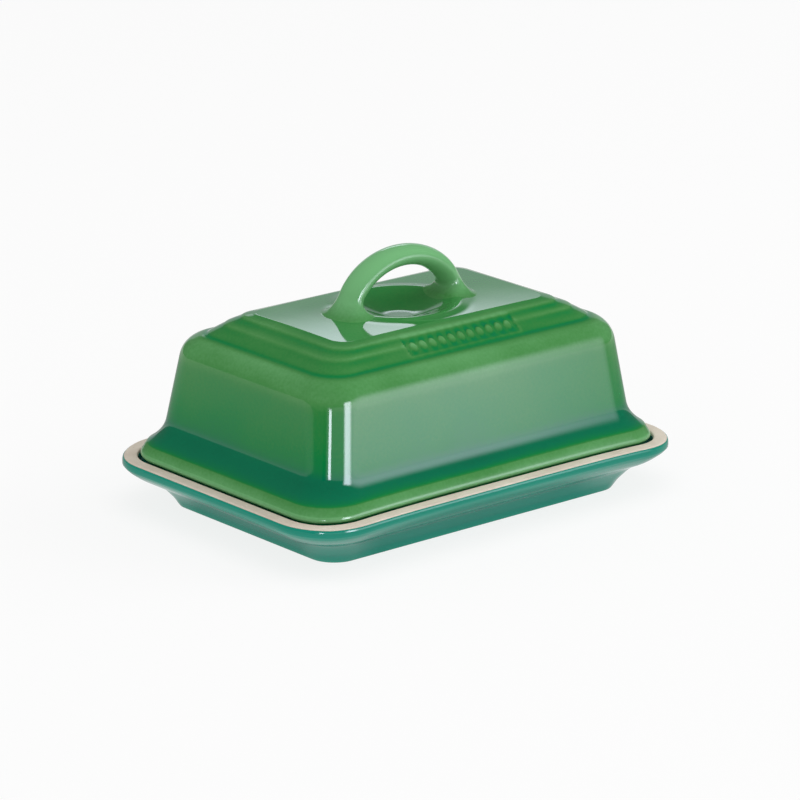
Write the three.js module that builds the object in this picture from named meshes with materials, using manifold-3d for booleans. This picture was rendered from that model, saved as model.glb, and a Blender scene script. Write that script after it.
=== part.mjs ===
// A covered stoneware butter dish: a low tray with a bare-clay rim, and a deep lid with a loop handle
// that drops inside that rim. Millimetres, +Z up. The origin is the centre of the foot ring, on the table,
// +X runs along the dish and -Y is the front, where the lid carries its beaded panel.
import * as THREE from "three";
import { mergeVertices } from "three/addons/utils/BufferGeometryUtils.js";
import Module from "manifold-3d";

const wasm = await Module();
wasm.setup();

// ---- Driving dimensions -------------------------------------------------------------------------------

const CORNER_STEPS = 7; // facets round one corner of an outline
const BEND_STEPS = 4; // facets round one bend of a profile
const REST_GAP = 0.1; // between pieces of the tray, and between pieces of the lid
const LID_GAP = 0.3; // between the lid's seat and the tray's ledge

const TRAY = { x: 85, y: 59.4, corner: 21, rimZ: 18 }; // half-length, half-width and corner radius of the rim
const FOOT = { x: 67.2, y: 43.6, corner: 9.5 }; // outline of the tray where it meets the table
// The tray's side as [share of the way from the rim's outline to the foot's, height], from under the lip down.
const TRAY_SIDE = [
  [0, 15.2],
  [0.08, 13.6],
  [0.28, 11.1],
  [0.6, 8.4],
  [0.86, 4],
  [1, 0.5],
];
const SIDE_STEPS = 15; // facets down the tray's side
const BAND = { width: 4.8, thick: 1.1, edge: 0.5, round: 0.5 }; // bare-clay strip along the top of the rim
const LEDGE = { z: 14.5, width: 6, riser: 0.6, edge: 0.8 }; // step inside the rim, on which the lid stands
const WELL = { floorZ: 5.5, x: 62, y: 40, corner: 8, bend: 1.6 }; // floor of the tray inside
const FOOT_RING = { inset: 1, width: 4, height: 0.4 }; // bare-clay ring under the tray
const RECESS = { z: 2, slope: 1 }; // underside of the tray inside the foot ring, and the run of its edge

const LIP = { x: 79.2, y: 53.6, corner: 16, z: 19.4, under: 1.2 }; // widest line of the lid, just above the rim
const SEAT = { width: 4.4, thick: 0.8, inset: 2.8 }; // bare-clay edge under the lid
const SKIRT = { x: 71.28, y: 47.26, corner: 13, z: 30.5 }; // where the flared skirt meets the wall
const SHOULDER = { x: 68.3, y: 44, corner: 12.5, z: 51 }; // top of the lid's sloping wall
const WALL = 5.2; // thickness of the lid's wall
const CEILING = { x: 50, y: 26, corner: 5, z: 61 }; // flat roof inside the lid
const TOP = { x: 47, y: 24.5, corner: 6.5, z: 68.6 }; // flat top of the lid
// The outer edges of the three steps that run round the lid between its flat top and its shoulder.
const STEPS = [
  { x: 50.3, y: 27.8, corner: 7, z: 67.8 },
  { x: 55.3, y: 31.2, corner: 8, z: 65.4 },
  { x: 60, y: 34.8, corner: 9, z: 62.3 },
];
const STEP_DROP = 1.1; // height of a step's riser
const STEP_RUN = 0.8; // how far a riser moves outwards
const TREAD_START = { run: 0.6, drop: 0.1 }; // short flat at the foot of a riser

const PAD = { x: 33, y: 20, rise: 0.8, edge: 1.6 }; // low oval pad that carries the handle
const HOLLOW = { x: 18, y: 16.5, depth: 4.5 }; // finger hollow in the pad, under the handle
// Centre line and half-sections of the loop handle, and the fillets where its feet meet the pad.
const HANDLE = { reach: 23, top: 89.7, thick: 3.6, wide: 5.2, fillet: 6.5, taper: 0.9, innerShare: 0.2 };
const PANEL = { x: 24.6, beads: 11, margin: 3.4, beadX: 1.3, beadY: 2, beadZ: 0.8 }; // on the lid's front

// ---- Shapes -------------------------------------------------------------------------------------------

// One level of a body: a rectangle with round corners, given by half-length, half-width, radius and height.
const level = (x, y, corner, z) => ({ x, y, corner, z });

// The level a given distance inside another one, at height z.
function inside(outer, inset, z, smallest = 3.5) {
  return level(outer.x - inset, outer.y - inset, Math.max(outer.corner - inset, smallest), z);
}

// The level at share t of the way from a to b for its outline, and share s of the way for its height.
function mixed(a, b, t, s) {
  const { lerp } = THREE.MathUtils;
  return level(lerp(a.x, b.x, t), lerp(a.y, b.y, t), lerp(a.corner, b.corner, t), lerp(a.z, b.z, s));
}

// Levels after a on a quarter bend to b. The bend leaves a level when flatFirst is true, and upright otherwise.
function bend(a, b, flatFirst, steps = BEND_STEPS) {
  return Array.from({ length: steps }, (_, i) => {
    const angle = ((i + 1) / steps) * (Math.PI / 2);
    const fast = Math.sin(angle);
    const slow = 1 - Math.cos(angle);
    return flatFirst ? mixed(a, b, fast, slow) : mixed(a, b, slow, fast);
  });
}

// The points of one level, anticlockwise seen from above.
function ringOf({ x, y, corner, z }) {
  const centres = [
    [x - corner, y - corner],
    [corner - x, y - corner],
    [corner - x, corner - y],
    [x - corner, corner - y],
  ];
  return centres.flatMap(([cx, cy], i) => {
    const start = (i * Math.PI) / 2;
    const arc = new THREE.EllipseCurve(cx, cy, corner, corner, start, start + Math.PI / 2);
    return arc.getPoints(CORNER_STEPS).map((p) => new THREE.Vector3(p.x, p.y, z));
  });
}

// A skin through rings of equally many points. An open skin gets a lid at each end, a closed one joins up.
function skin(rings, closed = false) {
  const count = rings[0].length;
  const positions = rings.flat().flatMap((p) => [p.x, p.y, p.z]);
  const index = [];
  const last = closed ? rings.length : rings.length - 1;
  for (let i = 0; i < last; i++) {
    const upper = i * count;
    const lower = ((i + 1) % rings.length) * count;
    for (let j = 0; j < count; j++) {
      const k = (j + 1) % count;
      index.push(upper + j, lower + j, lower + k, upper + j, lower + k, upper + k);
    }
  }
  if (!closed) {
    for (const [ring, facing] of [[0, 1], [rings.length - 1, -1]]) {
      const centre = new THREE.Vector3();
      rings[ring].forEach((p) => centre.addScaledVector(p, 1 / count));
      const hub = positions.length / 3;
      positions.push(centre.x, centre.y, centre.z);
      for (let j = 0; j < count; j++) {
        const here = ring * count + j;
        const next = ring * count + ((j + 1) % count);
        index.push(hub, ...(facing > 0 ? [here, next] : [next, here]));
      }
    }
  }
  const geometry = new THREE.BufferGeometry();
  geometry.setAttribute("position", new THREE.Float32BufferAttribute(positions, 3));
  geometry.setIndex(index);
  return geometry;
}

const body = (levels) => skin(levels.map(ringOf));
const hoop = (levels) => skin(levels.map(ringOf), true);

// ---- Solids to cut and join ---------------------------------------------------------------------------

function solid(geometry) {
  const bare = geometry.clone();
  bare.deleteAttribute("normal");
  bare.deleteAttribute("uv");
  const merged = mergeVertices(bare, 1e-4);
  return new wasm.Manifold(
    new wasm.Mesh({
      numProp: 3,
      vertProperties: new Float32Array(merged.attributes.position.array),
      triVerts: new Uint32Array(merged.index.array),
    }),
  );
}

function geometryOf(manifold) {
  const { vertProperties, triVerts } = manifold.getMesh();
  const geometry = new THREE.BufferGeometry();
  geometry.setAttribute("position", new THREE.BufferAttribute(vertProperties, 3));
  geometry.setIndex(new THREE.BufferAttribute(triVerts, 1));
  geometry.computeVertexNormals();
  return geometry;
}

// ---- Tray ---------------------------------------------------------------------------------------------

const rimOutline = level(TRAY.x, TRAY.y, TRAY.corner, TRAY.rimZ);
const footOutline = level(FOOT.x, FOOT.y, FOOT.corner, 0);

// The levels of the tray's side, on a smooth curve through the points of TRAY_SIDE.
function traySide() {
  const curve = new THREE.SplineCurve(TRAY_SIDE.map(([share, z]) => new THREE.Vector2(share, z)));
  return curve.getPoints(SIDE_STEPS).map(({ x: share, y: z }) => ({ ...mixed(rimOutline, footOutline, share, 0), z }));
}

// The glazed tray, from the middle of the well up over the rim and down the outside to its underside.
function trayBody() {
  const floor = level(WELL.x, WELL.y, WELL.corner, WELL.floorZ);
  const slopeFoot = inside(floor, -WELL.bend, WELL.floorZ + WELL.bend);
  const bandInner = BAND.edge + BAND.width;
  const ledgeOuter = inside(rimOutline, bandInner + LEDGE.riser, LEDGE.z);
  const ledgeInner = inside(ledgeOuter, LEDGE.width, LEDGE.z);
  const rimTopZ = TRAY.rimZ - BAND.thick - REST_GAP;
  const footEdge = { ...footOutline, z: FOOT_RING.height + REST_GAP };
  const footInner = inside(footEdge, FOOT_RING.inset + FOOT_RING.width + RECESS.slope, footEdge.z);
  return body([
    floor,
    ...bend(floor, slopeFoot, true, 3),
    inside(ledgeInner, LEDGE.edge, LEDGE.z - LEDGE.edge),
    ledgeInner,
    ledgeOuter,
    inside(rimOutline, bandInner, rimTopZ),
    inside(rimOutline, BAND.edge, rimTopZ),
    inside(rimOutline, 0, rimTopZ - BAND.edge),
    ...traySide(),
    footInner,
    inside(footInner, RECESS.slope, RECESS.z),
  ]);
}

// The bare-clay strip on top of the rim, rounded over at both edges.
function rimBand() {
  const low = TRAY.rimZ - BAND.thick;
  const inner = BAND.edge + BAND.width;
  return hoop([
    inside(rimOutline, inner, low),
    inside(rimOutline, inner, TRAY.rimZ - BAND.round),
    inside(rimOutline, inner - BAND.round, TRAY.rimZ),
    inside(rimOutline, BAND.edge + BAND.round, TRAY.rimZ),
    inside(rimOutline, BAND.edge, TRAY.rimZ - BAND.round),
    inside(rimOutline, BAND.edge, low),
  ]);
}

function footRing() {
  const { inset, width, height } = FOOT_RING;
  return hoop([
    inside(footOutline, inset + width, 0),
    inside(footOutline, inset + width, height),
    inside(footOutline, inset, height),
    inside(footOutline, inset, 0),
  ]);
}

// ---- Lid ----------------------------------------------------------------------------------------------

const BOWL_SINK = 0.55; // share of the bowl's own height that its middle stands above the pad
const padZ = TOP.z + PAD.rise;
const seatZ = LEDGE.z + LID_GAP;
const lidLowZ = seatZ + SEAT.thick + REST_GAP;

// A step's edge and the foot of its riser, which is where the next tread starts.
const riserFoot = (edge) => inside(edge, -STEP_RUN, edge.z - STEP_DROP);

// The three steps, each an edge rounded down to the foot of its riser, with a flat start to the next tread.
function steps() {
  return STEPS.flatMap((edge) => {
    const foot = riserFoot(edge);
    return [edge, ...bend(edge, foot, true, 3), inside(foot, -TREAD_START.run, foot.z - TREAD_START.drop)];
  });
}

// The lid's thick shell, from the middle of its top down the outside, round the lip and up the inside.
function lidBlank() {
  const treads = steps();
  const hem = mixed(SKIRT, LIP, 0.6, 0.62);
  const underLip = inside(LIP, LIP.under, lidLowZ);
  const seatInner = inside(LIP, SEAT.inset + SEAT.width, lidLowZ);
  const innerSkirt = inside(SKIRT, WALL, SKIRT.z + 1);
  const innerShoulder = inside(SHOULDER, WALL, SHOULDER.z - 1);
  return body([
    TOP,
    ...treads,
    ...bend(treads.at(-1), SHOULDER, true, 6),
    SKIRT,
    ...bend(SKIRT, hem, false, 5),
    ...bend(hem, LIP, true, 3),
    ...bend(LIP, underLip, false, 3),
    seatInner,
    innerSkirt,
    innerShoulder,
    ...bend(innerShoulder, CEILING, false, 5),
  ]);
}

// A flat oval disc with a sloping edge, raised on the middle of the top.
function handlePad() {
  const disc = new THREE.CylinderGeometry(1 - PAD.edge / PAD.x, 1, PAD.rise + 1, 48);
  disc.rotateX(Math.PI / 2);
  disc.scale(PAD.x, PAD.y, 1);
  disc.translate(0, 0, TOP.z + (PAD.rise - 1) / 2);
  return disc;
}

// The oval bowl that lets fingers under the handle, as the part of a larger ball that dips below the pad.
function fingerHollow() {
  const bowl = new THREE.SphereGeometry(1, 40, 24);
  const grown = 1 / Math.sqrt(1 - BOWL_SINK * BOWL_SINK);
  const height = HOLLOW.depth / (1 - BOWL_SINK);
  bowl.rotateX(Math.PI / 2);
  bowl.scale(HOLLOW.x * grown, HOLLOW.y * grown, height);
  bowl.translate(0, 0, padZ + BOWL_SINK * height);
  return bowl;
}

// The sloping panel on the front cuts across the middle step, from the first riser to the last edge.
const panelTop = { y: -riserFoot(STEPS[0]).y, z: riserFoot(STEPS[0]).z };
const panelFoot = { y: -STEPS[2].y, z: STEPS[2].z };

function panelCutter() {
  const section = new THREE.Shape([
    new THREE.Vector2(-panelTop.y, panelTop.z),
    new THREE.Vector2(-panelTop.y, panelTop.z + 3),
    new THREE.Vector2(-panelFoot.y, panelTop.z + 3),
    new THREE.Vector2(-panelFoot.y, panelFoot.z),
  ]);
  const prism = new THREE.ExtrudeGeometry(section, { depth: 2 * PANEL.x, bevelEnabled: false });
  prism.rotateX(Math.PI / 2);
  prism.rotateZ(-Math.PI / 2);
  prism.translate(PANEL.x, 0, 0);
  return prism;
}

function bead(i) {
  const pitch = (2 * (PANEL.x - PANEL.margin)) / (PANEL.beads - 1);
  const slope = Math.atan2(panelTop.z - panelFoot.z, panelTop.y - panelFoot.y);
  const shape = new THREE.SphereGeometry(1, 10, 6);
  shape.scale(PANEL.beadX, PANEL.beadY, PANEL.beadZ);
  shape.rotateX(slope);
  shape.translate(
    (i - (PANEL.beads - 1) / 2) * pitch,
    (panelTop.y + panelFoot.y) / 2,
    (panelTop.z + panelFoot.z) / 2,
  );
  return shape;
}

function lidShell() {
  let shell = solid(lidBlank()).add(solid(handlePad())).subtract(solid(fingerHollow()));
  shell = shell.subtract(solid(panelCutter()));
  for (let i = 0; i < PANEL.beads; i++) shell = shell.add(solid(bead(i)));
  return geometryOf(shell);
}

// The bare-clay edge on which the lid stands.
function lidSeat() {
  const outer = inside(LIP, SEAT.inset, seatZ);
  const inner = inside(LIP, SEAT.inset + SEAT.width, seatZ);
  const top = seatZ + SEAT.thick;
  return hoop([inner, { ...inner, z: top }, { ...outer, z: top }, outer]);
}

// The loop handle: an oval section carried over half an ellipse, growing into a fillet at each foot. The
// fillet is small on the side of the hollow.
function handle() {
  const arch = 30;
  const around = 16;
  const base = padZ + REST_GAP;
  const rise = HANDLE.top - HANDLE.thick - base;
  const rings = Array.from({ length: arch + 1 }, (_, i) => {
    const turn = (i / arch) * Math.PI;
    const centre = new THREE.Vector3(-HANDLE.reach * Math.cos(turn), 0, base + rise * Math.sin(turn));
    const outward = new THREE.Vector3(-rise * Math.cos(turn), 0, HANDLE.reach * Math.sin(turn)).normalize();
    const near = HANDLE.taper * Math.max(0, 1 - (centre.z - base) / HANDLE.fillet);
    const growth = HANDLE.fillet * (1 - Math.sqrt(1 - near * near));
    return Array.from({ length: around }, (__, j) => {
      const v = (j / around) * 2 * Math.PI;
      const side = Math.cos(v);
      return centre
        .clone()
        .addScaledVector(outward, side * (HANDLE.thick + growth * (side > 0 ? 1 : HANDLE.innerShare)))
        .add(new THREE.Vector3(0, Math.sin(v) * (HANDLE.wide + growth), 0));
    });
  });
  return skin(rings);
}

// ---- Assembly -----------------------------------------------------------------------------------------

const tealGlaze = { color: 0x0b7a63, roughness: 0.12, metalness: 0 };
const greenGlaze = { color: 0x2f8f4e, roughness: 0.12, metalness: 0 };
const bareClay = { color: 0xd8cab9, roughness: 0.75, metalness: 0 };

function piece(name, geometry, finish) {
  const mesh = new THREE.Mesh(geometry, new THREE.MeshStandardMaterial(finish));
  mesh.name = name;
  return mesh;
}

const tray = new THREE.Group();
tray.add(
  piece("tray_body", trayBody(), tealGlaze),
  piece("tray_rim_band", rimBand(), bareClay),
  piece("tray_foot_ring", footRing(), bareClay),
);

const lid = new THREE.Group();
lid.add(
  piece("lid_shell", lidShell(), greenGlaze),
  piece("lid_handle", handle(), greenGlaze),
  piece("lid_seat_edge", lidSeat(), bareClay),
);

const butterDish = new THREE.Group();
butterDish.add(tray, lid);

export default butterDish;
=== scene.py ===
"""A covered stoneware butter dish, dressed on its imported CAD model: glazed tray and lid, bare-clay edges."""

import math

import bpy
import numpy as np
from mathutils import Matrix, Vector


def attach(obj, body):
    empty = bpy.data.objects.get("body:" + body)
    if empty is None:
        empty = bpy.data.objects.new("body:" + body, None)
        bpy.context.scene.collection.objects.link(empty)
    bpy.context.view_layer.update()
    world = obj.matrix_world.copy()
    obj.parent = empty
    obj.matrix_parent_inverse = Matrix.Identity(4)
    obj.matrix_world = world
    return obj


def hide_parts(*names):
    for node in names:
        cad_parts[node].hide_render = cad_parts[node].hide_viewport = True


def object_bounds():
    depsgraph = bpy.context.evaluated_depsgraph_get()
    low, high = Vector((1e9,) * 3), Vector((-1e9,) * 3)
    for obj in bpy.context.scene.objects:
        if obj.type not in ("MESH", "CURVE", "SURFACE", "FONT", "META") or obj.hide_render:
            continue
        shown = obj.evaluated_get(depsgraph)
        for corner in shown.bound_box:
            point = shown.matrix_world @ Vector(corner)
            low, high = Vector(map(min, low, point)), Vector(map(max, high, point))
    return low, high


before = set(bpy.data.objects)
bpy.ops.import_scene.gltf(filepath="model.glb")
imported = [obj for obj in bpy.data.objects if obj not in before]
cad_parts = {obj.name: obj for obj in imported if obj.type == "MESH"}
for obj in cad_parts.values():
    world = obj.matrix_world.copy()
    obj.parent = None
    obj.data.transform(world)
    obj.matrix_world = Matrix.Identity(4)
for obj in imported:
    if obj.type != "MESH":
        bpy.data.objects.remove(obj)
cad_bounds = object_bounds()

MM = 0.001  # metres in a millimetre: shapes below are in millimetres, and are scaled when a mesh is made

# ---- Camera -------------------------------------------------------------------------------------------

VIEW_AZIMUTH = math.radians(-41.3)
VIEW_ELEVATION = math.radians(17.35)
VIEW_ROLL = math.radians(0.7)
VIEW_DISTANCE = 1.5
VIEW_LENS = 194.4
VIEW_SENSOR = 36
VIEW_TARGET_RIGHT = 0.00101
VIEW_TARGET_UP = 0.03252


def add_camera():
    a, e = VIEW_AZIMUTH, VIEW_ELEVATION
    back = Vector((math.sin(a) * math.cos(e), -math.cos(a) * math.cos(e), math.sin(e)))
    right = Matrix.Rotation(VIEW_ROLL, 3, back) @ Vector((math.cos(a), math.sin(a), 0))
    up = back.cross(right)
    place = back * VIEW_DISTANCE + right * VIEW_TARGET_RIGHT + up * VIEW_TARGET_UP
    data = bpy.data.cameras.new("camera")
    data.lens = VIEW_LENS
    data.sensor_width = VIEW_SENSOR
    camera = bpy.data.objects.new("camera", data)
    camera.matrix_world = Matrix.Translation(place) @ Matrix((right, up, back)).transposed().to_4x4()
    bpy.context.scene.collection.objects.link(camera)
    bpy.context.scene.camera = camera


add_camera()

# ---- Outlines -----------------------------------------------------------------------------------------

HALF_ARC = 7  # steps on half of one corner
FRONT_STEPS = 170  # steps on the straight part of the front, and of the back
END_STEPS = 54  # steps on the straight part of each end
FRONT_CROWD = 0.4  # how far the front's steps crowd towards its middle, where the beads are

FRONT_CELLS = FRONT_STEPS + 2 * HALF_ARC
END_CELLS = END_STEPS + 2 * HALF_ARC
SMALLEST_CORNER = 3.0  # corners of inset outlines do not shrink below this


def level(x, y, corner, z):
    """One level of a body: half-length, half-width, corner radius and height."""
    return np.array([x, y, corner, z], float)


def inside(outer, inset, z):
    """The level a given distance inside another."""
    x, y, corner, _ = outer
    return level(x - inset, y - inset, max(corner - inset, SMALLEST_CORNER), z)


def between(a, b, share, rise):
    """The level at share of the way from a to b for its outline, and rise of the way for its height."""
    mixed = a + (b - a) * share
    mixed[3] = a[3] + (b[3] - a[3]) * rise
    return mixed


def bend(a, b, flat_first, steps, end=1.0):
    """The levels after a on a bend to b, leaving a level if flat_first and upright if not. The bend is a
    quarter ellipse, or the first part of one, up to the share end of its turn."""
    last = end * math.pi / 2
    found = []
    for angle in np.linspace(0, last, steps + 1)[1:]:
        fast = math.sin(angle) / math.sin(last)
        slow = (1 - math.cos(angle)) / (1 - math.cos(last))
        found.append(between(a, b, fast, slow) if flat_first else between(a, b, slow, fast))
    return found


def straight(a, b, steps):
    """The levels after a on a straight slope to b."""
    return [between(a, b, share, share) for share in np.linspace(0, 1, steps + 1)[1:]]


def ring(x, y, corner, z):
    """The points of one level, anticlockwise from the middle of its front left corner."""
    half = np.linspace(0, math.pi / 4, HALF_ARC + 1)[1:]
    front = np.linspace(-1, 1, FRONT_STEPS + 1)
    front = (1 - FRONT_CROWD) * front + FRONT_CROWD * front**3
    end = np.linspace(-1, 1, END_STEPS + 1)
    sides = []
    for quarter, (reach, width, spots) in enumerate([(x, y, front), (y, x, end)] * 2):
        along = np.concatenate([
            corner - reach - corner * np.sin(half[::-1]),
            (reach - corner) * spots,
            reach - corner + corner * np.sin(half),
        ])
        round_off = np.concatenate([np.cos(half[::-1]), np.ones(len(spots)), np.cos(half)])
        out = width - corner + corner * round_off
        turn = quarter * math.pi / 2
        across = along * math.cos(turn) + out * math.sin(turn)
        away = along * math.sin(turn) - out * math.cos(turn)
        sides.append(np.column_stack([across, away])[:-1])
    flat = np.concatenate(sides)
    return np.column_stack([flat, np.full(len(flat), z)])


# ---- Meshes -------------------------------------------------------------------------------------------

GLAZE_REACH = 2.0  # distance over which the glaze runs off edges and gathers in hollows
BOW_RISE = 1.2  # rise of the rim, and of the lip on it, at the middle of the long sides
BOW_REACH = 76.0  # distance from the middle at which that rise has run out


def cap_grid(count, first):
    """Indices of the cells' corners on a cap: the ring's own points round its edge and new ones inside."""
    grid = np.empty((END_CELLS + 1, FRONT_CELLS + 1), int)
    loop = first + np.arange(count + 1) % count
    grid[0] = loop[: FRONT_CELLS + 1]
    grid[:, -1] = loop[FRONT_CELLS : FRONT_CELLS + END_CELLS + 1]
    grid[-1, ::-1] = loop[FRONT_CELLS + END_CELLS : 2 * FRONT_CELLS + END_CELLS + 1]
    grid[::-1, 0] = loop[2 * FRONT_CELLS + END_CELLS :]
    return grid


def cap_points(points, grid):
    """Places for a cap's inner points, spread evenly between its four sides."""
    s = np.linspace(0, 1, FRONT_CELLS + 1)[None, :, None]
    t = np.linspace(0, 1, END_CELLS + 1)[:, None, None]
    low, high = points[grid[0]][None], points[grid[-1]][None]
    left, right = points[grid[:, 0]][:, None], points[grid[:, -1]][:, None]
    low_corners = (1 - s) * low[:, :1] + s * low[:, -1:]
    high_corners = (1 - s) * high[:, :1] + s * high[:, -1:]
    filled = (1 - t) * (low - low_corners) + t * (high - high_corners) + (1 - s) * left + s * right
    return filled[1:-1, 1:-1].reshape(-1, 3)


def quads(grid):
    """The faces between neighbouring rows and columns of a grid of indices."""
    return np.stack([grid[:-1, :-1], grid[:-1, 1:], grid[1:, 1:], grid[1:, :-1]], axis=-1).reshape(-1, 4)


def body_mesh(rings):
    """Points and faces of a body through these rings, from its top down, capped at both ends."""
    count = rings.shape[1]
    points = rings.reshape(-1, 3)
    order = np.arange(len(points)).reshape(rings.shape[:2])
    wall = np.concatenate([order, order[:, :1]], axis=1)
    faces = [quads(wall[::-1])]
    for first, up in ((0, True), ((len(rings) - 1) * count, False)):
        grid = cap_grid(count, first)
        inner = cap_points(points, grid)
        grid[1:-1, 1:-1] = len(points) + np.arange(len(inner)).reshape(END_CELLS - 1, FRONT_CELLS - 1)
        points = np.concatenate([points, inner])
        faces.append(quads(grid if up else grid[:, ::-1]))
    return points, np.concatenate(faces).tolist()


def hoop_mesh(rings):
    """Points and faces of a closed hoop through these rings."""
    order = np.arange(rings.shape[0] * rings.shape[1]).reshape(rings.shape[:2])
    order = np.concatenate([order, order[:1]], axis=0)
    wall = np.concatenate([order, order[:, :1]], axis=1)
    return rings.reshape(-1, 3), quads(wall[::-1]).tolist()


def rings_of(levels):
    return np.array([ring(*one) for one in levels])


def profile_run(rings):
    """How far along its profile each point lies, and the length of profile it stands for."""
    steps = np.linalg.norm(np.diff(rings, axis=0), axis=2)
    along = np.concatenate([np.zeros((1, rings.shape[1])), np.cumsum(steps, axis=0)])
    return along, np.gradient(along, axis=0)


def averaged(values, along, room, reach):
    """The values averaged along each profile over about the given distance either way."""
    found = np.empty_like(values)
    for j in range(values.shape[1]):
        weight = np.exp(-(((along[:, None, j] - along[None, :, j]) / reach) ** 2) / 2) * room[None, :, j]
        weight /= weight.sum(axis=1, keepdims=True)
        found[:, j] = weight @ values[:, j]
    return found


def edge_share(rings):
    """How far each point of a body's rings stands proud of its surroundings along the profile, in mm."""
    along, room = profile_run(rings)
    profile = np.stack([np.hypot(rings[..., 0], rings[..., 1]), rings[..., 2]], axis=-1)
    slope = np.gradient(profile, axis=0)
    outward = np.stack([-slope[..., 1], slope[..., 0]], axis=-1)
    outward /= np.maximum(np.linalg.norm(outward, axis=-1, keepdims=True), 1e-9)
    found = ((profile - averaged(profile, along, room, GLAZE_REACH)) * outward).sum(axis=-1)
    found[[0, -1]] = found[[1, -2]]
    return found


def flow(rings, reach):
    """A body's rings with their profile rounded over that distance, as glaze rounds what lies under it."""
    along, room = profile_run(rings)
    hold = np.minimum(np.minimum(along, along[-1] - along) / (3 * reach), 1)[..., None]
    return rings + (averaged(rings, along, room, reach) - rings) * hold


def bow(rings, share):
    """The rings raised by that share of the rise at the middle of the rim's long sides."""
    raised = rings.copy()
    raised[..., 2] += BOW_RISE * share * np.clip(1 - (rings[..., 0] / BOW_REACH) ** 4, 0, 1)
    return raised


def make_piece(name, points, faces, material, proud=None):
    """A smooth mesh in metres. proud is how far each point stands out of its surroundings, for the glaze."""
    mesh = bpy.data.meshes.new(name)
    mesh.from_pydata((points * MM).tolist(), [], faces)
    mesh.polygons.foreach_set("use_smooth", [True] * len(mesh.polygons))
    mesh.materials.append(material)
    if proud is not None:
        mesh.attributes.new("proud", "FLOAT", "POINT").data.foreach_set("value", proud.astype(np.float32))
    piece = bpy.data.objects.new(name, mesh)
    bpy.context.scene.collection.objects.link(piece)
    return piece


def spline(points, steps):
    """A smooth curve through the points, as steps + 1 places."""
    p = np.array(points, float)
    p = np.concatenate([[2 * p[0] - p[1]], p, [2 * p[-1] - p[-2]]])
    spots = np.linspace(0, len(points) - 1, steps + 1)
    found = []
    for s in spots:
        i = min(int(s), len(points) - 2)
        t = s - i
        a, b, c, d = p[i : i + 4]
        curve = (2 * a - 5 * b + 4 * c - d) * t**2 + (3 * b - a - 3 * c + d) * t**3
        found.append(0.5 * (2 * b + (c - a) * t + curve))
    return np.array(found)


def smooth(low, high, value):
    """0 below low, 1 above high, and an even S-shaped rise between them."""
    t = np.clip((value - low) / (high - low), 0, 1)
    return t * t * (3 - 2 * t)


# ---- Materials ----------------------------------------------------------------------------------------


def linear(red, green, blue):
    """A screen colour from 0 to 255 as the linear colour that shaders work in."""
    parts = [c / 255 for c in (red, green, blue)]
    return (*[c / 12.92 if c <= 0.04045 else ((c + 0.055) / 1.055) ** 2.4 for c in parts], 1)


def new_material(name, colour, roughness):
    material = bpy.data.materials.new(name)
    material.use_nodes = True
    material.diffuse_color = colour
    shader = material.node_tree.nodes["Principled BSDF"]
    shader.inputs["Base Color"].default_value = colour
    shader.inputs["Roughness"].default_value = roughness
    return material, material.node_tree, shader


def add_noise(tree, scale, detail, roughness=0.5):
    """Noise fixed to the object's own coordinates, scale in waves per metre."""
    place = tree.nodes.new("ShaderNodeTexCoord")
    noise = tree.nodes.new("ShaderNodeTexNoise")
    noise.inputs["Scale"].default_value = scale
    noise.inputs["Detail"].default_value = detail
    noise.inputs["Roughness"].default_value = roughness
    tree.links.new(place.outputs["Object"], noise.inputs["Vector"])
    return noise.outputs["Fac"]


def remap(tree, value, low, high, to_low, to_high):
    node = tree.nodes.new("ShaderNodeMapRange")
    for name, number in (("From Min", low), ("From Max", high), ("To Min", to_low), ("To Max", to_high)):
        node.inputs[name].default_value = number
    tree.links.new(value, node.inputs["Value"])
    return node.outputs["Result"]


def add(tree, first, second):
    node = tree.nodes.new("ShaderNodeMath")
    node.operation = "ADD"
    tree.links.new(first, node.inputs[0])
    tree.links.new(second, node.inputs[1])
    return node.outputs["Value"]


def ramp(tree, value, stops):
    node = tree.nodes.new("ShaderNodeValToRGB")
    elements = node.color_ramp.elements
    elements[0].position, elements[0].color = stops[0]
    elements[1].position, elements[1].color = stops[-1]
    for position, colour in stops[1:-1]:
        elements.new(position).color = colour
    tree.links.new(value, node.inputs["Fac"])
    return node.outputs["Color"]


def bump(tree, shader, height, strength, distance):
    node = tree.nodes.new("ShaderNodeBump")
    node.inputs["Strength"].default_value = strength
    node.inputs["Distance"].default_value = distance
    tree.links.new(height, node.inputs["Height"])
    tree.links.new(node.outputs["Normal"], shader.inputs["Normal"])


def height_of(tree):
    """Height in metres in the object's own coordinates."""
    place = tree.nodes.new("ShaderNodeTexCoord")
    axes = tree.nodes.new("ShaderNodeSeparateXYZ")
    tree.links.new(place.outputs["Object"], axes.inputs["Vector"])
    return axes.outputs["Z"]


PROUD_SPAN = 0.5  # mm that a point stands proud, or lies low, at the two ends of a glaze's ramp
NOISE_LOW, NOISE_HIGH = 0.3, 0.7  # between these nearly all of a noise's values lie


def mottle(tree, scale, detail, low, high):
    """Noise spread from low to high."""
    return remap(tree, add_noise(tree, scale, detail), NOISE_LOW, NOISE_HIGH, low, high)


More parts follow.
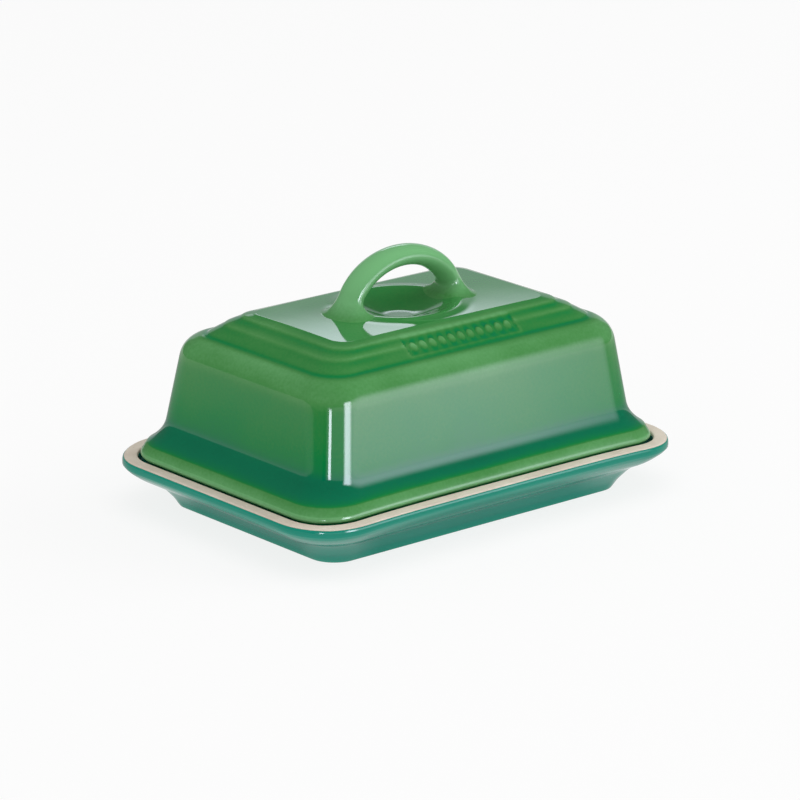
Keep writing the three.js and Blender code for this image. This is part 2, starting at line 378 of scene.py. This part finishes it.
def glaze(name, stops, roughness, sag):
    """A glossy glaze, thin and pale where the clay stands proud and deep where the glaze has gathered. sag is
    two heights in metres and what each adds to the place on the ramp, as glaze runs down before it sets."""
    material, tree, shader = new_material(name, stops[len(stops) // 2][1], roughness)
    proud = tree.nodes.new("ShaderNodeAttribute")
    proud.attribute_name = "proud"
    depth = remap(tree, proud.outputs["Fac"], -PROUD_SPAN, PROUD_SPAN, 0, 1)
    depth = add(tree, depth, remap(tree, height_of(tree), *sag))
    clouds = mottle(tree, 28, 2, -0.05, 0.05)
    grain = mottle(tree, 900, 3, -0.02, 0.02)
    shade = ramp(tree, add(tree, add(tree, depth, clouds), grain), stops)
    tree.links.new(shade, shader.inputs["Base Color"])
    gloss = mottle(tree, 60, 3, roughness * 0.8, roughness * 1.3)
    tree.links.new(gloss, shader.inputs["Roughness"])
    bump(tree, shader, add_noise(tree, 70, 1), 0.05, 0.0002)
    return material


def clay(name, pale, dark):
    """Matt bare stoneware with fine pores and specks."""
    material, tree, shader = new_material(name, pale, 0.82)
    specks = remap(tree, add_noise(tree, 1500, 4, 0.7), 0.62, 0.75, 0, 1)
    clouds = remap(tree, add_noise(tree, 90, 3), 0.3, 0.8, 0, 0.35)
    shade = ramp(tree, add(tree, specks, clouds), [(0, pale), (1, dark)])
    tree.links.new(shade, shader.inputs["Base Color"])
    bump(tree, shader, add(tree, add_noise(tree, 2200, 4, 0.7), add_noise(tree, 400, 2)), 0.35, 0.0002)
    return material


LID_GLAZE = glaze(
    "lid_glaze",
    [
        (0.0, linear(0, 88, 66)),
        (0.3, linear(0, 116, 80)),
        (0.5, linear(10, 130, 64)),
        (0.62, linear(50, 134, 64)),
        (0.75, linear(76, 146, 78)),
        (1.0, linear(122, 190, 128)),
    ],
    0.06,
    (0.028, 0.06, -0.06, 0.14),
)
TRAY_GLAZE = glaze(
    "tray_glaze",
    [
        (0.0, linear(0, 100, 86)),
        (0.3, linear(0, 120, 102)),
        (0.5, linear(0, 132, 112)),
        (0.7, linear(0, 134, 112)),
        (1.0, linear(24, 146, 124)),
    ],
    0.07,
    (0.0, 0.018, 0, 0),
)
CLAY = clay("bare_clay", linear(232, 221, 206), linear(176, 152, 128))

# ---- Tray ---------------------------------------------------------------------------------------------

RIM = level(85, 59.4, 21, 18)
FOOT = level(67.2, 43.6, 9.5, 0)
# The tray's side as (share of the way from the rim's outline to the foot's, height), from the lip down.
TRAY_SIDE = [(0, 15.2), (0.08, 13.6), (0.28, 11.1), (0.6, 8.4), (0.86, 4), (1, 0.5)]
RIM_ROUND_Z = 16.2  # where the rim's rounded outer edge turns upright
BAND_EDGE = 0.5  # glaze left showing outside the bare-clay band
BAND_WIDTH = 4.8
BAND_LOW = 16.9
LEDGE_Z = 14.5
LEDGE_WIDTH = 6.6
LEDGE_ROUND = 0.8
WELL = level(62, 40, 8, 5.5)
WELL_ROUND = 1.6
REST_GAP = 0.1  # between a piece of clay and the glazed body it belongs to
FOOT_INSETS = (1.0, 5.0)  # the clay foot ring's outer and inner inset from the foot's outline
FOOT_HEIGHTS = (0, 0.4)
# The glazed underside as (inset from the foot's outline, height): round the clay ring, then up into a recess.
UNDERSIDE = [(0.25, 0.15), (0.7, 0.1), (0.95, 0.42), (1.2, 0.5), (5.4, 0.5), (6.4, 1.6), (7.5, 2)]
STRIP_STEPS = 4  # steps round each edge of a clay strip
BOW_HEIGHTS = (5, 16)  # between these heights the tray's side takes on the bow of its rim


def tray_rings():
    side = []
    for share, z in spline(TRAY_SIDE, 44):
        side.append(between(RIM, FOOT, share, 0))
        side[-1][3] = z
    inner = BAND_EDGE + BAND_WIDTH
    low = BAND_LOW - REST_GAP
    slope = inside(WELL, -WELL_ROUND, WELL[3] + WELL_ROUND)
    ledge = inside(RIM, inner + LEDGE_WIDTH, LEDGE_Z)
    under_ledge = inside(ledge, LEDGE_ROUND, LEDGE_Z - LEDGE_ROUND)
    outer = inside(RIM, BAND_EDGE, low + 0.8)
    hollow = rings_of([
        WELL,
        *bend(WELL, slope, True, 5),
        *straight(slope, under_ledge, 8),
        *bend(under_ledge, ledge, False, 4),
        *straight(ledge, inside(RIM, inner + 0.8, LEDGE_Z), 4),
    ])
    wall = rings_of([
        inside(RIM, inner + 0.2, LEDGE_Z + 0.4),
        inside(RIM, inner + 0.05, low - 0.2),
        inside(RIM, inner, low),
        inside(RIM, BAND_EDGE + 0.05, low),
        inside(RIM, BAND_EDGE, low + 0.1),
        outer,
        *bend(outer, inside(RIM, 0, RIM_ROUND_Z), True, 5),
        *side,
        *[inside(FOOT, inset, z) for inset, z in UNDERSIDE],
    ])
    return np.concatenate([hollow, bow(wall, smooth(*BOW_HEIGHTS, wall[..., 2]))])


def strip_rings(outline, insets, heights, round_low, round_high):
    """A flat clay strip between two insets of an outline, its edges rounded over below and above."""
    (outer, inner), (low, high) = insets, heights
    inner_low = inside(outline, inner, low + round_low)
    inner_top = inside(outline, inner - round_high, high)
    outer_top = inside(outline, outer + round_high, high)
    outer_low = inside(outline, outer, low + round_low)
    under = inside(outline, inner - round_low, low)
    return rings_of([
        under,
        *bend(under, inner_low, True, STRIP_STEPS),
        *bend(inside(outline, inner, high - round_high), inner_top, False, STRIP_STEPS),
        inside(outline, (outer + inner) / 2, high),
        outer_top,
        *bend(outer_top, inside(outline, outer, high - round_high), True, STRIP_STEPS),
        outer_low,
        *bend(outer_low, inside(outline, outer + round_low, low), False, STRIP_STEPS),
        inside(outline, (outer + inner) / 2, low),
    ])


# ---- Lid ----------------------------------------------------------------------------------------------

LIP = level(79.2, 53.6, 16, 18.9)
SKIRT = level(71.28, 47.26, 13, 30.5)
SHOULDER = level(67.94, 43.6, 12.4, 53.5)
SHOULDER_END = 0.877  # share of a quarter bend after which the shoulder runs into the sloping wall
WALL_TILT = 9.04  # degrees that the wall leans back
FLARE_TILT = 52.0  # degrees that the skirt leans back at its flattest
FLARE_RADIUS = 13.0  # of the curve between the two, on the front
LIP_RADIUS = 1.6
LIP_TURN = -60.0  # degrees that the skirt leans where its rounded edge turns under
TOP = level(47, 24.5, 6.5, 68.6)
STEPS = [level(50.3, 27.8, 7, 67.8), level(55.3, 31.2, 8, 65.4), level(60, 34.8, 9, 62.3)]
STEP_DROP = 0.85
STEP_RUN = 0.8
TREAD_RUN = 0.5  # short flat at the foot of each step
TREAD_DROP = 0.1
STEP_EVENNESS = 0.3  # how much less the glaze thins and gathers on the steps than it does lower down
ROUNDING = 0.7  # distance over which the glaze rounds the lid's edges and grooves
WALL = 5.2
CEILING = level(50, 26, 5, 61)
LID_LOW = 15.7  # underside of the glazed lid, above its clay seat
# Under the lip, insets from its outline: where it turns in, and the glazed lid's lower edges round the seat.
TUCK_INSET = 1.4
TUCK_DROP = 1.8
LOW_INSETS = (2.2, 7.6)
SEAT_INSETS = (2.8, 7.2)  # the clay seat's outer and inner inset from the lip
SEAT_HEIGHTS = (14.8, 15.6)

CROWN = 0.5  # how much higher the middle of the top is than its edge
HOLLOW_X = 19.0
HOLLOW_Y = 17.5
HOLLOW_DEPTH = 4.2
HOLLOW_SPAN = (0.22, 1.05)  # shares of the hollow's half-sizes where its flat bottom ends and its side ends
COLLAR = 0.7  # height of the raised collar round the finger hollow
COLLAR_PLACE = 1.12  # its crest, as a share of the hollow's half-sizes
COLLAR_SPREAD = 0.16
TOP_THINNING = 0.1  # how strongly the glaze on top thins on what stands proud and gathers in hollows
TOP_STEP = 1.0  # mm either side over which the top's relief is compared

PANEL_X = 24.6  # half-length of the beaded panel on the front
PANEL_SINK = 0.25
PANEL_EDGE = 0.15  # share of the panel's slope over which it sinks, at its top and bottom
PANEL_END = 0.4  # mm over which its ends rise, either side of their middle
BEADS = 11
BEAD_PITCH = 4.25
BEAD_X = 1.55
BEAD_S = 2.15
BEAD_HEIGHT = 0.75
BEAD_SHAPE = (1.5, 0.8)  # powers that make the beads fuller than half an oval ball, with soft edges


def riser_foot(edge):
    return inside(edge, -STEP_RUN, edge[3] - STEP_DROP)


def panel(rings):
    """The rings with the front's middle step cut back to a sloping panel, on which a row of beads stands."""
    x, y, z = rings[..., 0], rings[..., 1], rings[..., 2]
    top, low = riser_foot(STEPS[0]), STEPS[2]
    run = low[1] - top[1]
    across = (-y - top[1]) / run
    plane = top[3] + (low[3] - top[3]) * across
    sink = PANEL_SINK * smooth(0, PANEL_EDGE, across) * (1 - smooth(1 - PANEL_EDGE, 1, across))
    slope = math.hypot(run, top[3] - low[3])
    beads = np.zeros_like(x)
    for i in range(BEADS):
        middle = (i - (BEADS - 1) / 2) * BEAD_PITCH
        far = ((x - middle) / BEAD_X) ** 2 + ((across - 0.5) * slope / BEAD_S) ** 2
        beads += BEAD_HEIGHT * np.clip(1 - far ** BEAD_SHAPE[0], 0, 1) ** BEAD_SHAPE[1]
    inside_panel = (across > -0.001) & (across < 1.001) & (z > low[3] - 0.5)
    share = (1 - smooth(PANEL_X - PANEL_END, PANEL_X + PANEL_END, np.abs(x))) * inside_panel
    changed = rings.copy()
    changed[..., 2] = z + share * (plane - sink + beads - z)
    return changed


def flare():
    """The levels below the wall, where the skirt curls outwards to a thin rounded lip."""
    run = LIP[1] - SKIRT[1]
    found = []
    start = math.radians(WALL_TILT)
    for tilt in np.radians(np.linspace(WALL_TILT, FLARE_TILT, 17)[1:]):
        out = FLARE_RADIUS * (math.cos(start) - math.cos(tilt))
        found.append(between(SKIRT, LIP, out / run, 0))
        found[-1][3] -= FLARE_RADIUS * (math.sin(tilt) - math.sin(start))
    for tilt in np.radians(np.linspace(FLARE_TILT, LIP_TURN, 13)):
        out = run - LIP_RADIUS * (1 - math.cos(tilt))
        found.append(between(SKIRT, LIP, out / run, 1))
        found[-1][3] += LIP_RADIUS * math.sin(tilt)
    return found


def lid_rings():
    found = [TOP]
    for edge in STEPS:
        foot = riser_foot(edge)
        found += straight(found[-1], edge, 8)
        found += bend(edge, foot, True, 5)
        found += [inside(foot, -TREAD_RUN, foot[3] - TREAD_DROP)]
    inner_skirt = inside(SKIRT, WALL, SKIRT[3])
    inner_shoulder = inside(SHOULDER, WALL, SHOULDER[3])
    found += bend(found[-1], SHOULDER, True, 20, end=SHOULDER_END)
    found += straight(SHOULDER, SKIRT, 16)
    found += flare()
    outside = flow(rings_of(found), ROUNDING)
    z = outside[..., 2]
    outside = bow(outside, 1 - smooth(LIP[3], SKIRT[3], z))
    inner = [inside(LIP, TUCK_INSET, LIP[3] - TUCK_DROP)]
    inner += [inside(LIP, inset, LID_LOW) for inset in LOW_INSETS] + [inner_skirt]
    inner += straight(inner_skirt, inner_shoulder, 6)
    inner += bend(inner_shoulder, CEILING, False, 8)
    return panel(np.concatenate([outside, rings_of(inner)]))


def top_height(x, y):
    """Height of the lid's top at a place: a slight crown, a raised collar and the finger hollow inside it."""
    crown = CROWN * (1 - 0.5 * (x / TOP[0]) ** 2 - 0.5 * (y / TOP[1]) ** 2)
    q = np.hypot(x / HOLLOW_X, y / HOLLOW_Y)
    bowl = HOLLOW_DEPTH * (1 - smooth(*HOLLOW_SPAN, q))
    collar = COLLAR * np.exp(-(((q - COLLAR_PLACE) / COLLAR_SPREAD) ** 2))
    return TOP[3] + crown - bowl + collar


def top_proud(x, y):
    """How far the lid's top stands proud of its surroundings at a place."""
    e = TOP_STEP
    around = top_height(x + e, y) + top_height(x - e, y) + top_height(x, y + e) + top_height(x, y - e)
    return -TOP_THINNING * (around - 4 * top_height(x, y)) / e**2


def make_lid():
    rings = lid_rings()
    proud = edge_share(rings) * (1 - STEP_EVENNESS * smooth(SHOULDER[3], SHOULDER[3] + 6, rings[..., 2]))
    proud = proud.reshape(-1)
    points, faces = body_mesh(rings)
    proud = np.concatenate([proud, np.zeros(len(points) - len(proud))])
    on_top = (np.abs(points[:, 2] - TOP[3]) < 0.01) & (np.abs(points[:, 0]) <= TOP[0] + 0.01)
    on_top &= np.abs(points[:, 1]) <= TOP[1] + 0.01
    points[on_top, 2] = top_height(points[on_top, 0], points[on_top, 1])
    edge = np.arange(len(points)) < rings.shape[1]
    proud[on_top & ~edge] = top_proud(points[on_top & ~edge, 0], points[on_top & ~edge, 1])
    return make_piece("lid_glazed", points, faces, LID_GLAZE, proud)


# Centre line and half-sections of the loop, the height of its spreading feet, and the shares of their spread
# that go to its outer and inner side.
HANDLE = {"reach": 23.0, "top": 89.6, "thick": 3.6, "wide": 5.2, "fillet": 6.2, "outer": 0.85, "inner": 0.9}
HANDLE_RINGS = 130
HANDLE_AROUND = 44
HANDLE_SETTLE = 12  # height below which the feet follow the relief of the lid's top
HANDLE_SINK = 0.04  # how far the feet's edges lie below that top
HANDLE_ROOT = 1.0  # how deep the handle's feet reach into it
HEM = (1.02, 1.03, 1)  # how much wider than its last ring the sunk edge of a foot is
HEM_DROP = 0.1
HANDLE_PALE = (0.2, 0.22, 0.1)  # how proud the handle counts for its glaze, more up high, less at its feet


def handle_mesh():
    """The loop: an oval section along half an ellipse, with feet that spread like poured glaze."""
    rise = HANDLE["top"] - HANDLE["thick"] - TOP[3]
    around = np.linspace(0, 2 * math.pi, HANDLE_AROUND, endpoint=False)
    side = np.cos(around)
    rings = []
    for share in np.linspace(0, math.pi, HANDLE_RINGS + 1):
        turn = math.pi * (1 - math.cos(share)) / 2  # rings crowd towards the feet
        cx, cz = -HANDLE["reach"] * math.cos(turn), rise * math.sin(turn)
        out = Vector((-rise * math.cos(turn), 0, HANDLE["reach"] * math.sin(turn))).normalized()
        near = max(0.0, 1 - cz / HANDLE["fillet"])
        growth = HANDLE["fillet"] * (1 - math.sqrt(max(0.0, 1 - near * near)))
        stretch = HANDLE["thick"] + growth * np.where(side > 0, HANDLE["outer"], HANDLE["inner"])
        x = cx + out.x * side * stretch
        y = np.sin(around) * (HANDLE["wide"] + growth)
        z = cz + out.z * side * stretch
        ground = top_height(x, y) - TOP[3]
        settled = z + ground * (1 - smooth(0, HANDLE_SETTLE, z)) - HANDLE_SINK
        rings.append(np.column_stack([x, y, TOP[3] + settled]))
    root = np.array([0, 0, HANDLE_ROOT])
    hems = []
    for end, place in ((rings[0], -HANDLE["reach"]), (rings[-1], HANDLE["reach"])):
        middle = np.array([place, 0, 0])
        hems.append((end - middle) * np.array(HEM) + middle - np.array([0, 0, HEM_DROP]))
    rings = np.array([hems[0] - root, hems[0], *rings, hems[1], hems[1] - root])
    count = rings.shape[1]
    order = np.arange(rings.shape[0] * count).reshape(rings.shape[:2])
    wall = np.concatenate([order, order[:, :1]], axis=1)
    points = rings.reshape(-1, 3)
    ends = [order[0].tolist(), order[-1, ::-1].tolist()]
    return points, quads(wall[::-1]).tolist() + ends


def make_handle():
    points, faces = handle_mesh()
    height = points[:, 2] - TOP[3]
    base, high, low = HANDLE_PALE
    proud = base + high * smooth(1, 9, height) - low * (1 - smooth(0, 3, height))
    return make_piece("lid_loop", points, faces, LID_GLAZE, proud)


# ---- Pieces on the frame ------------------------------------------------------------------------------


def stands_for(piece, body, node):
    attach(piece, body)
    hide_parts(node)


def make_glazed_tray():
    rings = tray_rings()
    points, faces = body_mesh(rings)
    proud = edge_share(rings).reshape(-1)
    proud = np.concatenate([proud, np.zeros(len(points) - len(proud))])
    return make_piece("tray_glazed", points, faces, TRAY_GLAZE, proud)


band_insets = (BAND_EDGE, BAND_EDGE + BAND_WIDTH)
band = bow(strip_rings(RIM, band_insets, (BAND_LOW, RIM[3]), 0.05, 0.7), 1)
foot = strip_rings(FOOT, FOOT_INSETS, FOOT_HEIGHTS, 0.15, 0.03)
seat = strip_rings(LIP, SEAT_INSETS, SEAT_HEIGHTS, 0.25, 0.05)

stands_for(make_glazed_tray(), "tray", "tray_body")
stands_for(make_piece("rim_band_clay", *hoop_mesh(band), CLAY), "tray", "tray_rim_band")
stands_for(make_piece("foot_ring_clay", *hoop_mesh(foot), CLAY), "tray", "tray_foot_ring")
stands_for(make_lid(), "lid", "lid_shell")
stands_for(make_handle(), "lid", "lid_handle")
stands_for(make_piece("lid_seat_clay", *hoop_mesh(seat), CLAY), "lid", "lid_seat_edge")

# ---- Studio -------------------------------------------------------------------------------------------

FLOOR_SIZE = 12
FLOOR_GREY = 0.17
FLOOR_GLOW = 0.825  # the floor is lit from within, so the dish's shadow on it stays faint
# The floor's glow as the glaze shows it: a painted shadow under the dish, and painted brighter and dimmer
# rings round it. Pairs of distances from the dish's middle, as shares of its half-sizes, and what the glow
# is multiplied by before and after them.
FLOOR_PAINTED_SHADE = [((0.9, 1.1), (0.25, 0.85)), ((1.15, 1.5), (1, 0.45)), ((4, 8), (1, 1.8))]
SKY_LIGHT = 0.45  # grey of the world as the dish's fill light
SKY_GLOSS = 0.12  # grey of the world as the glaze shows it
OBJECT_MIDDLE = Vector((0, 0, 0.045))
CARD_TINT = (0.97, 0.98, 1.16, 1)


def towards(azimuth, elevation):
    """Unit direction from the dish, azimuth in degrees from the front towards its left end."""
    a, e = math.radians(azimuth), math.radians(elevation)
    return Vector((-math.sin(a) * math.cos(e), -math.cos(a) * math.cos(e), math.sin(e)))


def facing_dish(item, azimuth, elevation, distance):
    away = towards(azimuth, elevation)
    turn = away.to_track_quat("Z", "Y").to_matrix().to_4x4()
    item.matrix_world = Matrix.Translation(OBJECT_MIDDLE + away * distance) @ turn
    item.visible_camera = False
    bpy.context.scene.collection.objects.link(item)


def soft_light(name, azimuth, elevation, distance, width, height, radiance):
    """A rectangular lamp that lights the dish but does not show in its glaze."""
    data = bpy.data.lights.new(name, "AREA")
    data.shape = "RECTANGLE"
    data.size = width
    data.size_y = height
    data.energy = radiance * math.pi * width * height
    lamp = bpy.data.objects.new(name, data)
    facing_dish(lamp, azimuth, elevation, distance)
    lamp.visible_glossy = False


def fade(tree, value, low, high):
    """0 below low, 1 above high, and an even rise between them."""
    node = tree.nodes.new("ShaderNodeMapRange")
    node.interpolation_type = "SMOOTHSTEP"
    node.inputs["From Min"].default_value = low
    node.inputs["From Max"].default_value = high
    tree.links.new(value, node.inputs["Value"])
    return node.outputs["Result"]


def times(tree, first, second):
    node = tree.nodes.new("ShaderNodeMath")
    node.operation = "MULTIPLY"
    tree.links.new(first, node.inputs[0])
    if isinstance(second, (int, float)):
        node.inputs[1].default_value = second
    else:
        tree.links.new(second, node.inputs[1])
    return node.outputs["Value"]


def card(name, azimuth, low, high, distance, width, strength, fades=(0.1, 0.1, 0.1, 0.1), foot=0.0):
    """A clear glowing card that shows only in the glaze, from elevation low to high. Its glow fades over
    these shares of its width and height at its local left, right, bottom and top, and to foot times its
    strength at the bottom. A card without strength is black, and hides what is behind it."""
    height = 2 * distance * math.tan(math.radians(high - low) / 2)
    mesh = bpy.data.meshes.new(name)
    x, y = width / 2, height / 2
    mesh.from_pydata([(-x, -y, 0), (x, -y, 0), (x, y, 0), (-x, y, 0)], [], [(0, 1, 2, 3)])
    material = bpy.data.materials.new(name)
    material.use_nodes = True
    tree = material.node_tree
    tree.nodes.remove(tree.nodes["Principled BSDF"])
    glow = tree.nodes.new("ShaderNodeEmission")
    glow.inputs["Color"].default_value = CARD_TINT
    place = tree.nodes.new("ShaderNodeTexCoord")
    axes = tree.nodes.new("ShaderNodeSeparateXYZ")
    tree.links.new(place.outputs["Generated"], axes.inputs["Vector"])
    left, right, bottom, top = fades
    across, up = axes.outputs["X"], axes.outputs["Y"]
    sides = times(tree, fade(tree, across, 0, left), fade(tree, across, 1, 1 - right))
    rise = remap(tree, fade(tree, up, 0, bottom), 0, 1, foot, 1)
    share = times(tree, times(tree, sides, rise), fade(tree, up, 1, 1 - top))
    tree.links.new(times(tree, share, strength), glow.inputs["Strength"])
    surface = glow.outputs["Emission"]
    if strength:
        clear = tree.nodes.new("ShaderNodeBsdfTransparent")
        both = tree.nodes.new("ShaderNodeAddShader")
        tree.links.new(surface, both.inputs[0])
        tree.links.new(clear.outputs["BSDF"], both.inputs[1])
        surface = both.outputs["Shader"]
    tree.links.new(surface, tree.nodes["Material Output"].inputs["Surface"])
    mesh.materials.append(material)
    item = bpy.data.objects.new(name, mesh)
    facing_dish(item, azimuth, (low + high) / 2, distance)
    item.visible_diffuse = False
    item.visible_shadow = False


def add_world():
    """White to the camera, a soft grey light all round, and darker in the glaze."""
    world = bpy.data.worlds.new("studio")
    world.use_nodes = True
    tree = world.node_tree
    rays = tree.nodes.new("ShaderNodeLightPath")
    shader = None
    for ray, grey in (("", SKY_LIGHT), ("Is Glossy Ray", SKY_GLOSS), ("Is Camera Ray", 1.0)):
        sky = tree.nodes.new("ShaderNodeBackground")
        sky.inputs["Color"].default_value = (grey, grey, grey, 1)
        if ray:
            mix = tree.nodes.new("ShaderNodeMixShader")
            tree.links.new(rays.outputs[ray], mix.inputs["Fac"])
            tree.links.new(shader, mix.inputs[1])
            tree.links.new(sky.outputs["Background"], mix.inputs[2])
            shader = mix.outputs["Shader"]
        else:
            shader = sky.outputs["Background"]
    tree.links.new(shader, tree.nodes["World Output"].inputs["Surface"])
    bpy.context.scene.world = world
    bpy.context.scene.view_settings.view_transform = "Standard"


def add_floor():
    """A white floor that glows softly. The glaze alone shows it with painted shade: a painted shadow under the
    dish, painted bright close round it, dimmer a little further off and bright again far away."""
    material, tree, shader = new_material("floor", (FLOOR_GREY, FLOOR_GREY, FLOOR_GREY, 1), 0.9)
    shader.inputs["Specular IOR Level"].default_value = 0
    shader.inputs["Emission Color"].default_value = (1, 1, 1, 1)
    place = tree.nodes.new("ShaderNodeTexCoord")
    stretch = tree.nodes.new("ShaderNodeVectorMath")
    stretch.operation = "MULTIPLY"
    low, high = cad_bounds
    stretch.inputs[1].default_value = (1 / high[0], 1 / high[1], 0)
    reach = tree.nodes.new("ShaderNodeVectorMath")
    reach.operation = "LENGTH"
    tree.links.new(place.outputs["Object"], stretch.inputs[0])
    tree.links.new(stretch.outputs["Vector"], reach.inputs[0])
    shade = None
    for distances, shares in FLOOR_PAINTED_SHADE:
        step = remap(tree, fade(tree, reach.outputs["Value"], *distances), 0, 1, *shares)
        shade = times(tree, shade, step) if shade else step
    # Only glossy rays see this painted shadow and these painted rings; to the camera and as light the floor
    # glows evenly.
    rays = tree.nodes.new("ShaderNodeLightPath")
    mix = tree.nodes.new("ShaderNodeMix")
    mix.inputs["A"].default_value = 1
    tree.links.new(rays.outputs["Is Glossy Ray"], mix.inputs["Factor"])
    tree.links.new(shade, mix.inputs["B"])
    tree.links.new(times(tree, mix.outputs["Result"], FLOOR_GLOW), shader.inputs["Emission Strength"])
    half = FLOOR_SIZE / 2
    mesh = bpy.data.meshes.new("floor")
    corners = [(-half, -half, 0), (half, -half, 0), (half, half, 0), (-half, half, 0)]
    mesh.from_pydata(corners, [], [(0, 1, 2, 3)])
    mesh.materials.append(material)
    floor = bpy.data.objects.new("floor", mesh)
    bpy.context.scene.collection.objects.link(floor)


add_world()
add_floor()
# Lamps: azimuth, elevation, distance, width, height, radiance.
soft_light("overhead_lamp", 20, 80, 2.4, 2.6, 2.6, 1.0)
soft_light("left_lamp", 60, 30, 2.2, 1.6, 1.4, 0.7)
soft_light("right_lamp", -60, 30, 2.2, 1.6, 1.4, 2.0)
# Cards: azimuth, lowest and highest elevation, distance, width, strength, fades, foot. From the camera the
# two strips show near the lid's front left corner, the front cards in its front, and the back cards in its
# left end and its top. The flag leaves a dark gap beside the narrow strip.
card("narrow_strip", 52, -3, 8, 0.8, 0.11, 16, (0.15, 0.15, 0.5, 0.15), 0.7)
card("wide_strip", 4.5, -3.5, 24, 0.6, 0.28, 13, (0.3, 0.3, 0.2, 0.3), 0.7)
card("front_box", -28, -6.2, 28, 0.4, 0.4, 3.6, (0.05, 0.4, 0.3, 0.6), 0.7)
card("front_wall", 30, -3, 12, 1.2, 1.6, 0.8, (0.1, 0.1, 0.1, 0.3))
card("back_wall", -139, -0.8, 24, 3.7, 3.8, 0.4, (0.1, 0.1, 0.01, 0.3))
card("back_box", -141, 15.5, 28, 3.2, 1.1, 2.1, (0.3, 0.3, 0.4, 0.3))
card("flag", 66, -6, 10, 0.5, 0.07, 0)
